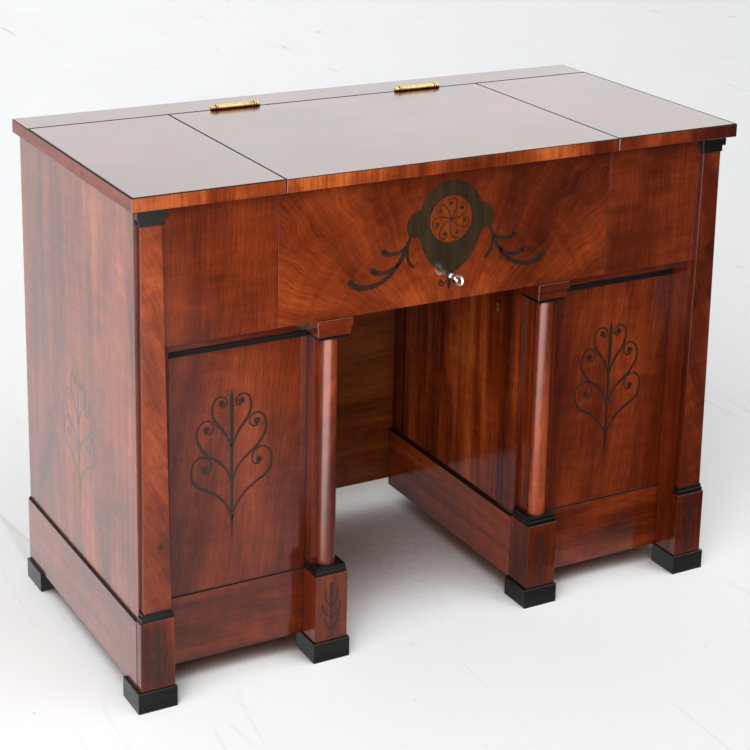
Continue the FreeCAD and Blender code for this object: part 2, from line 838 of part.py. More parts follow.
# Lock case: a thin brass box with a slot for the bolt and the keyhole in its face
def drawer_lock():
    case = box(-lock_half_width, lock_half_width, drawer_front_rear, lock_rear, lock_bottom,
               lock_top)
    hollow = box(-lock_half_width + lock_wall, lock_half_width - lock_wall,
                 drawer_front_rear + lock_wall, lock_rear - lock_wall, lock_bottom + lock_wall,
                 lock_top - lock_wall)
    slot = box(-bolt_half_width - bolt_clearance, bolt_half_width + bolt_clearance,
               bolt_front - bolt_clearance, bolt_front + bolt_thickness + bolt_clearance,
               lock_bottom - over, lock_bottom + lock_wall + over)
    return case.cut([hollow, slot, keyhole_cut(drawer_front_rear - over,
                                               drawer_front_rear + lock_wall + over)])


def lock_bolt():
    return box(-bolt_half_width, bolt_half_width, bolt_front, bolt_front + bolt_thickness,
               lock_bottom + bolt_clearance, bolt_top)


def bow_disc(trim):
    centre = V(0, key_bow_middle, key_height)
    along = V(0, key_bow_middle + key_bow_half_length - trim, key_height)
    across = V(0, key_bow_middle, key_height + key_bow_half_height - trim)
    edge = Part.Ellipse(along, across, centre).toShape()
    disc = Part.Face(Part.Wire([edge])).extrude(V(key_bow_thickness, 0, 0))
    disc.translate(V(-key_bow_thickness / 2, 0, 0))
    return disc


# Key: an oval ring bow, a round shank with a collar, and the bit inside the lock
def key():
    disc = bow_disc(0)
    eased = disc.makeChamfer(key_bow_easing, [edge for edge in disc.Edges if edge.isClosed()])
    ring = eased.cut(bow_disc(key_bow_wire))
    shank_start = key_bow_middle + key_bow_half_length - key_bow_wire / 2
    shank = rod_y(key_shank_radius, shank_start, key_shank_end, 0, key_height)
    collar = rod_y(key_collar_radius, key_collar_y - key_collar_length / 2,
                   key_collar_y + key_collar_length / 2, 0, key_height)
    bit = box(-key_bit_thickness / 2, key_bit_thickness / 2, key_bit_front, key_bit_rear,
              key_height - key_bit_reach, key_height)
    return shank.fuse([ring, collar, bit]).removeSplitter()


def foot(x0, x1, front, depth):
    return eased_box(x0, x1, front, front + depth, 0, foot_height, foot_arris)


PAIRS = {
    "side_panel": side_panel(),
    "corner_block": corner_block(),
    "corner_base": corner_base(),
    "pilaster": pilaster(),
    "pilaster_capital": pilaster_capital(),
    "column_block": column_block(),
    "column_base": column_base(),
    "column": column(),
    "column_capital": column_capital(),
    "column_post": column_post(),
    "front_panel": front_panel(),
    "fascia": fascia(),
    "case_partition": case_partition(),
    "flap": flap(),
    "flap_hinge_leaf": moving_strip(),
    "drawer_side": drawer_side(),
    "foot_front_outer": foot(foot_outer_near, foot_outer_far, foot_corner_front, foot_depth),
    "foot_front_inner": foot(foot_inner_near, foot_inner_far, foot_column_front, foot_depth),
    "foot_rear": foot(foot_outer_near, foot_outer_far, foot_rear_front, foot_rear_depth),
}

SINGLES = {
    "plinth_right": plinth(right_pivot_y),
    "plinth_left": mirrored(plinth(left_pivot_y)),
    "rear_stile_right": rear_stile(right_pivot_y),
    "rear_stile_left": mirrored(rear_stile(left_pivot_y)),
    "door_right": door(right_pivot_y),
    "door_left": mirrored(door(left_pivot_y)),
    "back_panel": back_panel(),
    "dust_board": dust_board(),
    "drawer_rail": drawer_rail(),
    "rear_rail": rear_rail(),
    "lid": lid(),
    "mirror": mirror(),
    "lid_hinge_plates": both_barrels(fixed_barrel()),
    "lid_hinge_leaves": both_barrels(moving_barrel()),
    "flap_hinge_strips": Part.makeCompound([fixed_strip(), mirrored(fixed_strip())]),
    "door_pivot_pins": door_pivot_pins(),
    "drawer_front": drawer_front(),
    "drawer_back": drawer_back(),
    "drawer_bottom": drawer_bottom(),
    "drawer_lock": drawer_lock(),
    "lock_bolt": lock_bolt(),
    "key": key(),
}


def export(name, solid):
    placed = solid.copy()
    placed.translate(V(0, -depth_middle, 0))
    placed.exportStep(os.path.join(OUT, name + ".step"))


os.makedirs("parts", exist_ok=True)
for name, solid in PAIRS.items():
    export(name + "_right", solid)
    export(name + "_left", mirrored(solid))
for name, solid in SINGLES.items():
    export(name, solid)
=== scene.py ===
import bmesh
import bpy
import math
from mathutils import Matrix, Vector


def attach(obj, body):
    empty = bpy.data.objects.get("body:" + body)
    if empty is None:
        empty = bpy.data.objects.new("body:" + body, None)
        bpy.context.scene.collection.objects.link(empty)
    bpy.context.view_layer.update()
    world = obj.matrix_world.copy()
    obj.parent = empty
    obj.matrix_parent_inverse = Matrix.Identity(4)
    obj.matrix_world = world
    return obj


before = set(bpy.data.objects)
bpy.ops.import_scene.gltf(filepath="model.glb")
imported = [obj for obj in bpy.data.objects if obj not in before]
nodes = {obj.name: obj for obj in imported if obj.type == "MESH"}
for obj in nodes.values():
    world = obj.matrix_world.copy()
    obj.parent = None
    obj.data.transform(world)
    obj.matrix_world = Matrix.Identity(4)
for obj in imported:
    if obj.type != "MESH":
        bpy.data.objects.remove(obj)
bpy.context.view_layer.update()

MM = 0.001

# Depths are drawn from the front edge of the top, and the frame's middle lies this far behind that edge
DEPTH_SHIFT = 0.244

# Surfaces that carry inlay
FASCIA_Y = 0.0243 - DEPTH_SHIFT
PANEL_Y = 0.0677 - DEPTH_SHIFT
CORNER_BLOCK_Y = 0.0087 - DEPTH_SHIFT
COLUMN_BLOCK_Y = 0.0225 - DEPTH_SHIFT
SIDE_X = 0.5175
DOOR_X = 0.175
TOP_Z = 0.8

# Bounds between two finishes on one solid
CORNER_POST_X = 0.4976
PLINTH_LINE_Z = 0.1400
CUPBOARD_INNER_X = 0.1935
CUPBOARD_OUTER_X = 0.4970
CAPITAL_FOOT_Z = 0.5401
DOOR_FACE_X = 0.1755
DOOR_BACK_X = 0.1926
FILLET_LOW_Z = 0.5305
FILLET_HIGH_Z = 0.5400
FILLET_DEPTH = 0.0030
FILLET_SLACK = 0.0001
TOP_ARRIS_Z = 0.799

# Camera
YAW = math.radians(30.006)
PITCH = math.radians(15.67)
ROLL = math.radians(1.463)
CAMERA_PLACE = (-1.4573, -2.3392 - DEPTH_SHIFT, 1.5251)
FOCAL_PX = 1897.2
CENTRE_PX = (399.5, 186.9)
FRAME_PX = 750.0
SENSOR = 36.0
CLIP_END = 100.0


def make_camera():
    ahead = Vector((math.sin(YAW) * math.cos(PITCH), math.cos(YAW) * math.cos(PITCH), -math.sin(PITCH)))
    right = Vector((math.cos(YAW), -math.sin(YAW), 0.0))
    up = right.cross(ahead)
    right_rolled = right * math.cos(ROLL) + up * math.sin(ROLL)
    up_rolled = up * math.cos(ROLL) - right * math.sin(ROLL)
    data = bpy.data.cameras.new("camera")
    data.sensor_width = SENSOR
    data.lens = FOCAL_PX * SENSOR / FRAME_PX
    data.shift_x = -(CENTRE_PX[0] - FRAME_PX / 2) / FRAME_PX
    data.shift_y = (CENTRE_PX[1] - FRAME_PX / 2) / FRAME_PX
    data.clip_end = CLIP_END
    camera = bpy.data.objects.new("camera", data)
    turn = Matrix((right_rolled, up_rolled, -ahead)).transposed().to_4x4()
    turn.translation = Vector(CAMERA_PLACE)
    camera.matrix_world = turn
    bpy.context.scene.collection.objects.link(camera)
    bpy.context.scene.camera = camera


# Node helpers
class Nodes:
    """A small wrapper that adds shader nodes and links them."""

    def __init__(self, tree):
        self.tree = tree
        self.links = tree.links

    def add(self, kind, **values):
        node = self.tree.nodes.new(kind)
        for key, value in values.items():
            setattr(node, key, value)
        return node

    def put(self, socket, value):
        if isinstance(value, bpy.types.NodeSocket):
            self.links.new(value, socket)
        else:
            socket.default_value = value

    def math(self, operation, a, b=0.0):
        node = self.add("ShaderNodeMath", operation=operation)
        self.put(node.inputs[0], a)
        self.put(node.inputs[1], b)
        return node.outputs[0]

    def plus(self, a, b):
        return self.math("ADD", a, b)

    def minus(self, a, b):
        return self.math("SUBTRACT", a, b)

    def times(self, a, b):
        return self.math("MULTIPLY", a, b)

    def length(self, a, b):
        """The long side of a right-angled triangle with the sides a and b."""
        return self.math("SQRT", self.plus(self.math("POWER", a, 2.0), self.math("POWER", b, 2.0)))

    def place(self):
        return self.add("ShaderNodeTexCoord").outputs["Object"]

    def axes(self, vector):
        node = self.add("ShaderNodeSeparateXYZ")
        self.put(node.inputs[0], vector)
        return node.outputs["X"], node.outputs["Y"], node.outputs["Z"]

    def joined(self, x, y, z):
        node = self.add("ShaderNodeCombineXYZ")
        for socket, value in zip(node.inputs, (x, y, z)):
            self.put(socket, value)
        return node.outputs[0]

    def noise(self, vector, scale, detail=3.0, roughness=0.55, distortion=0.0):
        node = self.add("ShaderNodeTexNoise")
        self.put(node.inputs["Vector"], vector)
        node.inputs["Scale"].default_value = scale
        node.inputs["Detail"].default_value = detail
        node.inputs["Roughness"].default_value = roughness
        node.inputs["Distortion"].default_value = distortion
        return node.outputs["Fac"]

    def mapped(self, vector, scale=(1, 1, 1), move=(0, 0, 0), turn=(0, 0, 0)):
        node = self.add("ShaderNodeMapping")
        self.put(node.inputs["Vector"], vector)
        node.inputs["Scale"].default_value = scale
        node.inputs["Location"].default_value = move
        node.inputs["Rotation"].default_value = turn
        return node.outputs["Vector"]

    def ramp(self, factor, stops):
        node = self.add("ShaderNodeValToRGB")
        self.put(node.inputs["Fac"], factor)
        elements = node.color_ramp.elements
        while len(elements) < len(stops):
            elements.new(0.5)
        for element, (place, colour) in zip(elements, stops):
            element.position = place
            element.color = (*colour, 1.0)
        return node.outputs["Color"]

    def mix(self, factor, a, b, blend="MIX"):
        node = self.add("ShaderNodeMix", data_type="RGBA", blend_type=blend)
        self.put(node.inputs["Factor"], factor)
        self.put(node.inputs["A"], (*a, 1.0) if isinstance(a, tuple) else a)
        self.put(node.inputs["B"], (*b, 1.0) if isinstance(b, tuple) else b)
        return node.outputs["Result"]

    def spread(self, value, low, high, to_low, to_high):
        """Carries the range from low to high over to the range from to_low to to_high, and no further."""
        node = self.add("ShaderNodeMapRange")
        self.put(node.inputs["Value"], value)
        node.inputs["From Min"].default_value = low
        node.inputs["From Max"].default_value = high
        node.inputs["To Min"].default_value = to_low
        node.inputs["To Max"].default_value = to_high
        return node.outputs["Result"]

    def hollow(self, reach, samples):
        """1 in the open and less where other surfaces are nearer than reach."""
        node = self.add("ShaderNodeAmbientOcclusion", samples=samples)
        node.inputs["Distance"].default_value = reach
        return node.outputs["AO"]

    def rounded(self, radius):
        """The surface's normal with its edges rounded."""
        node = self.add("ShaderNodeBevel", samples=4)
        node.inputs["Radius"].default_value = radius
        return node.outputs[0]

    def bump(self, height, strength, depth, normal):
        node = self.add("ShaderNodeBump")
        node.inputs["Strength"].default_value = strength
        node.inputs["Distance"].default_value = depth
        self.put(node.inputs["Height"], height)
        self.put(node.inputs["Normal"], normal)
        return node.outputs[0]


def new_material(name):
    material = bpy.data.materials.new(name)
    material.use_nodes = True
    material.node_tree.nodes.clear()
    nd = Nodes(material.node_tree)
    shader = nd.add("ShaderNodeBsdfPrincipled")
    output = nd.add("ShaderNodeOutputMaterial")
    nd.links.new(shader.outputs[0], output.inputs[0])
    return material, nd, shader


STRETCH = {"x": Vector((1, 0, 0)), "y": Vector((0, 1, 0)), "z": Vector((0, 0, 1))}


def along(grain, share):
    """Scale that draws a pattern out along the grain."""
    return tuple(share if component else 1.0 for component in STRETCH[grain])


def across(grain, share):
    """Scale that draws a pattern out across the grain."""
    return tuple(1.0 if component else share for component in STRETCH[grain])


# Wood
DEEP = (0.045, 0.0055, 0.0012)
DARK = (0.095, 0.0125, 0.0022)
RED = (0.185, 0.0270, 0.0048)
WARM = (0.300, 0.0530, 0.0095)
ORANGE = (0.460, 0.1050, 0.0200)
MAHOGANY = [DEEP, DARK, RED, WARM, ORANGE]
PINE = [(0.15, 0.065, 0.022), (0.27, 0.135, 0.05), (0.38, 0.21, 0.09), (0.47, 0.29, 0.14)]
BACK_BOARD = [(0.042, 0.0065, 0.0008), (0.092, 0.0170, 0.0018), (0.155, 0.0330, 0.0042),
              (0.225, 0.057, 0.0090)]
DISC_WOOD = [(0.10, 0.012, 0.0012), (0.155, 0.024, 0.002), (0.235, 0.046, 0.005)]
PORE_SHADE = (0.30, 0.26, 0.26)
SEAM_COLOUR = (0.012, 0.007, 0.004)
WORN_MAHOGANY = (0.045, 0.008, 0.003)
ARRIS_RADIUS = 0.0011
DARK_ARRIS_RADIUS = 0.0012
METAL_ARRIS_RADIUS = 0.0005
POLISH_IOR = 1.45
COAT_HAZE = 0.02
ARRIS_COAT_SHARE = 0.15
WAVE_HEIGHT = 0.0015
PORE_DEPTH = 0.0004
BOARD_WIDTH = 0.133

# Each pattern of the wood has a scale and a share by which it is drawn out along or across the grain
FIGURE_SCALE, FIGURE_DRAW = 7.0, 0.30
BAND_SCALE, BAND_DRAW = 42.0, 0.04
STREAK_SCALE, STREAK_DRAW = 210.0, 0.035
RIPPLE_SCALE, RIPPLE_DRAW = 75.0, 0.22
PORE_SCALE, PORE_DRAW = 750.0, 0.05
WAVE_SCALE, WAVE_DRAW = 26.0, 0.3
PATTERN_GAIN = 3.0

# Painted shade (wide reach) and dirt (narrow reach) darken the colour within these distances of another
# surface
WIDE_REACH, WIDE_SHARE = 0.045, 0.6
NARROW_REACH = 0.007

# The rays of the flame veneer meet at this height, below the middle of the drawer
RAYS_MEET_Z = 0.47
RAY_BEND = 0.30
RAY_LENGTH_PER_RADIAN = 0.26
RAY_SLICE = 0.37


def sunburst(nd, vector):
    """Rays that open upward and outward from below the middle of the front, mirrored left and right."""
    x, _, z = nd.axes(vector)
    aside = nd.math("ABSOLUTE", x)
    rise = nd.minus(z, RAYS_MEET_Z)
    bend = nd.times(nd.minus(nd.noise(vector, 7.0, 2.0, distortion=0.3), 0.5), RAY_BEND)
    angle = nd.plus(nd.math("ARCTAN2", aside, rise), bend)
    reach = nd.length(aside, rise)
    return nd.joined(nd.times(angle, RAY_LENGTH_PER_RADIAN), RAY_SLICE, reach)


def parted(nd, place, wide):
    """Lying boards of one width, each with its own grain, and a mask that is 1 in the joints."""
    x, y, z = nd.axes(place)
    count = nd.math("DIVIDE", z, wide)
    shift = nd.times(nd.math("FLOOR", count), 0.37)
    middle = nd.math("ABSOLUTE", nd.minus(nd.math("FRACT", count), 0.5))
    return nd.joined(nd.plus(x, shift), nd.plus(y, shift), z), nd.spread(middle, 0.489, 0.494, 0.0, 0.9)


def corner_shade_and_dirt(nd, colour, shade_and_dirt):
    """Painted shade with old polish and dust: wide, faint painted shade in the angles, narrow and nearly
    black old polish and dust in the joints.
    """
    for reach, depth in ((WIDE_REACH, shade_and_dirt * WIDE_SHARE), (NARROW_REACH, shade_and_dirt)):
        shade = nd.spread(nd.hollow(reach, 4), 0.30, 0.80, 1.0 - depth, 1.0)
        grey = nd.ramp(shade, [(0.0, (0.0, 0.0, 0.0)), (1.0, (1.0, 1.0, 1.0))])
        colour = nd.mix(1.0, colour, grey, "MULTIPLY")
    return colour


def arris_mask(nd, radius):
    """Rounded edges for the shading, and a mask that is 1 on them."""
    rounded = nd.rounded(radius)
    shape = nd.add("ShaderNodeNewGeometry")
    turn = nd.add("ShaderNodeVectorMath", operation="DOT_PRODUCT")
    nd.put(turn.inputs[0], rounded)
    nd.put(turn.inputs[1], shape.outputs["Normal"])
    return rounded, nd.spread(turn.outputs["Value"], 0.72, 0.995, 1.0, 0.0)


def patch_mask(nd, place, patches):
    """Sum of soft-edged upright patches on the front: x, z, radius and how much each lightens the wood."""
    front_x, _, front_z = nd.axes(place)
    blur = nd.minus(nd.noise(place, 60.0, 3.0), 0.5)
    total = 0.0
    for x, z, radius, gain in patches:
        upright = nd.times(nd.minus(front_z, z), 0.7)
        away = nd.plus(nd.length(nd.minus(front_x, x), upright), nd.times(blur, radius))
        total = nd.plus(nd.spread(away, radius * 0.3, radius, gain, 0.0), total)
    return total


def wood(name, tones, grain="z", seed=0.0, contrast=1.0, lift=0.0, broad=0.45, bands=0.30, streak=0.30,
         ripple=0.10, swirl=0.9, tilt=0.0, burst=False, boards=0.0, painted_light_slope=(0.0, 0.0, 0.0), patches=(),
         roughness=0.45, coat=1.0, coat_roughness=0.10, shade_and_dirt=0.6, wear=0.5, edge=WORN_MAHOGANY, pores=0.06):
    """Polished wood: broad figure, bands, fine streaks and pores along the grain and a faint ripple across
    it, with painted shade and dirt in the corners and darkened arrises. It may grow lighter along x, y or
    z as painted light and shade, carry patches and be parted into lying boards."""
    material, nd, shader = new_material(name)
    place = nd.place()
    vector = sunburst(nd, place) if burst else place
    if boards:
        vector, seam = parted(nd, place, boards)
    turned = nd.mapped(vector, move=(seed, seed * 0.7, seed * 1.3), turn=(0, math.radians(tilt), 0))
    figured = nd.mapped(turned, scale=along(grain, FIGURE_DRAW))
    banded = nd.mapped(turned, scale=along(grain, BAND_DRAW))
    rippled = nd.mapped(turned, scale=across(grain, RIPPLE_DRAW))
    streaks = nd.noise(nd.mapped(turned, scale=along(grain, STREAK_DRAW)), STREAK_SCALE, 4.0, 0.65)
    parts = [
        (nd.noise(figured, FIGURE_SCALE, 4.0, distortion=swirl), broad),
        (nd.noise(banded, BAND_SCALE, 3.0, distortion=0.3), bands),
        (streaks, streak),
        (nd.noise(rippled, RIPPLE_SCALE, 2.0), ripple),
    ]
    level = 0.5 + lift
    # Painted light and shade: the wood grows lighter or darker along x, y and z by these rates
    for axis, rate in zip(nd.axes(place), painted_light_slope):
        if rate:
            level = nd.plus(nd.times(axis, rate), level)
    if patches:
        level = nd.plus(level, patch_mask(nd, place, patches))
    for pattern, weight in parts:
        level = nd.plus(nd.times(nd.minus(pattern, 0.5), weight * contrast * PATTERN_GAIN), level)
    colour = nd.ramp(level, [(index / (len(tones) - 1), tone) for index, tone in enumerate(tones)])
    pore = nd.noise(nd.mapped(turned, scale=along(grain, PORE_DRAW)), PORE_SCALE, 2.0)
    fine = nd.spread(pore, 0.36, 0.50, 0.45, 0.0)
    colour = nd.mix(fine, colour, nd.mix(1.0, colour, PORE_SHADE, "MULTIPLY"))
    if boards:
        colour = nd.mix(seam, colour, SEAM_COLOUR)
    rounded, arris = arris_mask(nd, ARRIS_RADIUS)
    patchy = nd.spread(nd.noise(place, 38.0, 3.0), 0.38, 0.55, 0.2, 1.0)
    colour = nd.mix(nd.times(nd.times(arris, patchy), wear), colour, edge)
    # Painted shade in the angles and dirt in the joints darken the colour
    nd.put(shader.inputs["Base Color"], corner_shade_and_dirt(nd, colour, shade_and_dirt))
    smear = nd.noise(nd.mapped(place, move=(seed, 3.1, seed)), 6.0, 5.0, 0.65)
    nd.put(shader.inputs["Roughness"], nd.spread(smear, 0.3, 0.7, roughness - 0.08, roughness + 0.10))
    relief = nd.plus(pore, nd.times(streaks, 0.8))
    nd.put(shader.inputs["Normal"], nd.bump(relief, pores, PORE_DEPTH, rounded))
    shader.inputs["Specular IOR Level"].default_value = 0.02
    shader.inputs["Coat Roughness"].default_value = coat_roughness + COAT_HAZE
    shader.inputs["Coat IOR"].default_value = POLISH_IOR
    if coat:
        wave = nd.noise(nd.mapped(place, scale=along(grain, WAVE_DRAW)), WAVE_SCALE, 2.0)
        nd.put(shader.inputs["Coat Normal"], nd.bump(wave, 0.06, WAVE_HEIGHT, rounded))
        nd.put(shader.inputs["Coat Weight"], nd.spread(arris, 0.0, 1.0, coat, coat * ARRIS_COAT_SHARE))
    return material


def dark_wood(name, tone, streak_tone, grain="x", roughness=0.34, coat=0.6, coat_roughness=0.16, wear=0.35,
              edge=(0.16, 0.11, 0.08)):
    """Ebonised wood or dark inlay, rubbed brownish in places."""
    material, nd, shader = new_material(name)
    place = nd.place()
    streak = nd.noise(nd.mapped(place, scale=along(grain, 0.06)), 130.0, 4.0)
    patch = nd.noise(place, 24.0, 4.0)
    colour = nd.mix(nd.spread(streak, 0.45, 0.75, 0.0, 0.8), tone, streak_tone)
    colour = nd.mix(nd.spread(patch, 0.52, 0.78, 0.0, 0.5), colour, streak_tone)
    rounded, arris = arris_mask(nd, DARK_ARRIS_RADIUS)
    worn = nd.times(nd.times(arris, nd.spread(patch, 0.45, 0.6, 0.0, 1.0)), wear)
    nd.put(shader.inputs["Base Color"], nd.mix(worn, colour, edge))
    nd.put(shader.inputs["Roughness"], nd.spread(patch, 0.3, 0.7, roughness - 0.08, roughness + 0.12))
    nd.put(shader.inputs["Normal"], nd.bump(streak, 0.08, PORE_DEPTH, rounded))
    shader.inputs["Specular IOR Level"].default_value = 0.08
    shader.inputs["Coat Weight"].default_value = coat
    shader.inputs["Coat Roughness"].default_value = coat_roughness
    shader.inputs["Coat IOR"].default_value = POLISH_IOR
    return material


# Metal, glass and floor
def metal(name, bright, dull, roughness, grime=0.4):
    """Old metal: bright where handled, dull and spotted elsewhere, dark in the grooves."""
    material, nd, shader = new_material(name)
    place = nd.place()
    spots = nd.noise(place, 260.0, detail=4.0, roughness=0.6)
    cloud = nd.noise(place, 60.0, detail=3.0)
    share = nd.times(nd.spread(spots, 0.45, 0.7, 0.0, 1.0), nd.spread(cloud, 0.35, 0.65, 0.2, 1.0))
    nd.put(shader.inputs["Base Color"], corner_shade_and_dirt(nd, nd.mix(share, bright, dull), grime))
    nd.put(shader.inputs["Roughness"], nd.spread(cloud, 0.3, 0.7, roughness - 0.08, roughness + 0.15))
    nd.put(shader.inputs["Normal"], nd.bump(spots, 0.1, 0.0002, nd.rounded(METAL_ARRIS_RADIUS)))
    shader.inputs["Metallic"].default_value = 1.0
    return material


def mirror_glass():
    """Silvered glass, gone blind in spots."""
    material, nd, shader = new_material("old_mirror")
    spots = nd.noise(nd.place(), 70.0, detail=5.0, roughness=0.7)
    share = nd.spread(spots, 0.66, 0.76, 0.0, 0.8)
    nd.put(shader.inputs["Base Color"], nd.mix(share, (0.88, 0.89, 0.88), (0.18, 0.16, 0.14)))
    nd.put(shader.inputs["Roughness"], nd.spread(share, 0.0, 1.0, 0.02, 0.4))
    shader.inputs["Metallic"].default_value = 1.0
    return material


FLOOR_LEFT = (0.945, 0.965, 0.97)
FLOOR_RIGHT = (0.775, 0.792, 0.797)
FLOOR_PAINTED_LIGHT = (0.96, 1.0, 1.0)
FLOOR_SCUFF = (0.66, 0.665, 0.67)
FLOOR_CLOUD = (0.84, 0.85, 0.855)
FLOOR_CRACK = (0.34, 0.33, 0.33)
FLOOR_DUST = (0.32, 0.29, 0.27)
KNEEHOLE_SHADE = (0.18, 0.092, 0.070)
CRACK_HALF_WIDTH = 0.0016


def cracks(nd, place, colour, seed, turn):
    """Hairline cracks that run one way, with gaps between them."""
    stretched = nd.mapped(place, scale=(1.0, 0.07, 1.0), move=(seed, seed, 0), turn=(0, 0, turn))
    near = nd.math("ABSOLUTE", nd.minus(nd.noise(stretched, 2.4, 3.0, 0.45), 0.5))
    broken = nd.spread(nd.noise(nd.mapped(place, move=(seed, 0, 0)), 4.0, 3.0), 0.50, 0.64, 0.0, 0.34)
    crack = nd.times(nd.spread(near, 0.0, CRACK_HALF_WIDTH, 1.0, 0.0), broken)
    return nd.mix(crack, colour, FLOOR_CRACK)


def floor_white():
    """Painted studio floor: scuffs, hairline cracks and dust, with painted light falloff that leaves it a
    shade darker to the right, painted light near the case and warm, dark painted shade under the kneehole."""
    material, nd, shader = new_material("floor_white")
    place = nd.place()
    across_view = nd.axes(nd.mapped(place, turn=(0, 0, YAW)))[0]
    # Painted light falloff: the floor is painted lighter to the left and darker to the right
    colour = nd.mix(nd.spread(across_view, -1.2, 1.4, 0.0, 1.0), FLOOR_LEFT, FLOOR_RIGHT)
    brushed = nd.mapped(place, scale=(1.0, 2.2, 1.0), turn=(0, 0, 0.5))
    scuff = nd.noise(brushed, 4.0, 9.0, 0.75, distortion=0.6)
    colour = nd.mix(nd.spread(scuff, 0.60, 0.80, 0.0, 0.40), colour, FLOOR_SCUFF)
    colour = nd.mix(nd.spread(nd.noise(place, 1.1, 3.0), 0.35, 0.65, 0.0, 0.20), colour, FLOOR_CLOUD)
    for seed, turn in ((1.7, 0.35), (6.1, 1.5), (9.4, 0.9)):
        colour = cracks(nd, place, colour, seed, turn)
    dust = nd.spread(nd.noise(place, 60.0, 2.0), 0.745, 0.77, 0.0, 0.5)
    colour = nd.mix(dust, colour, FLOOR_DUST)
    hollow = nd.hollow(0.60, 12)
    # Painted light: where the case shades the floor, the floor is painted lighter and a little cooler
    colour = nd.mix(nd.times(nd.spread(hollow, 0.45, 0.95, 1.0, 0.0), 0.8), colour, FLOOR_PAINTED_LIGHT)
    shade = nd.spread(hollow, 0.15, 0.39, 1.0, 0.0)
    colour = nd.mix(shade, colour, nd.mix(1.0, colour, KNEEHOLE_SHADE, "MULTIPLY"))
    nd.put(shader.inputs["Base Color"], colour)
    shader.inputs["Roughness"].default_value = 0.75
    shader.inputs["Specular IOR Level"].default_value = 0.1
    return material


# Patches of lighter or darker wood, partly figure and partly painted light and shade: x, z, radius and gain
FLAME_PATCHES = [(-0.005, 0.585, 0.085, 0.26), (0.0, 0.785, 0.12, 0.20), (-0.235, 0.75, 0.05, 0.10),
                 (-0.10, 0.745, 0.05, -0.10), (0.15, 0.70, 0.11, -0.20), (-0.19, 0.62, 0.08, -0.06)]
PILASTER_PATCHES = [(0.503, 0.585, 0.012, -0.40), (-0.486, 0.262, 0.005, -0.35),
                    (-0.494, 0.50, 0.15, 0.27), (-0.494, 0.24, 0.10, -0.05)]
PANEL_PATCHES = [(0.28, 0.50, 0.12, 0.09), (0.37, 0.36, 0.14, -0.06), (-0.42, 0.50, 0.09, 0.10)]
BLOCK_PATCHES = [(-0.197, 0.10, 0.12, -0.08)]

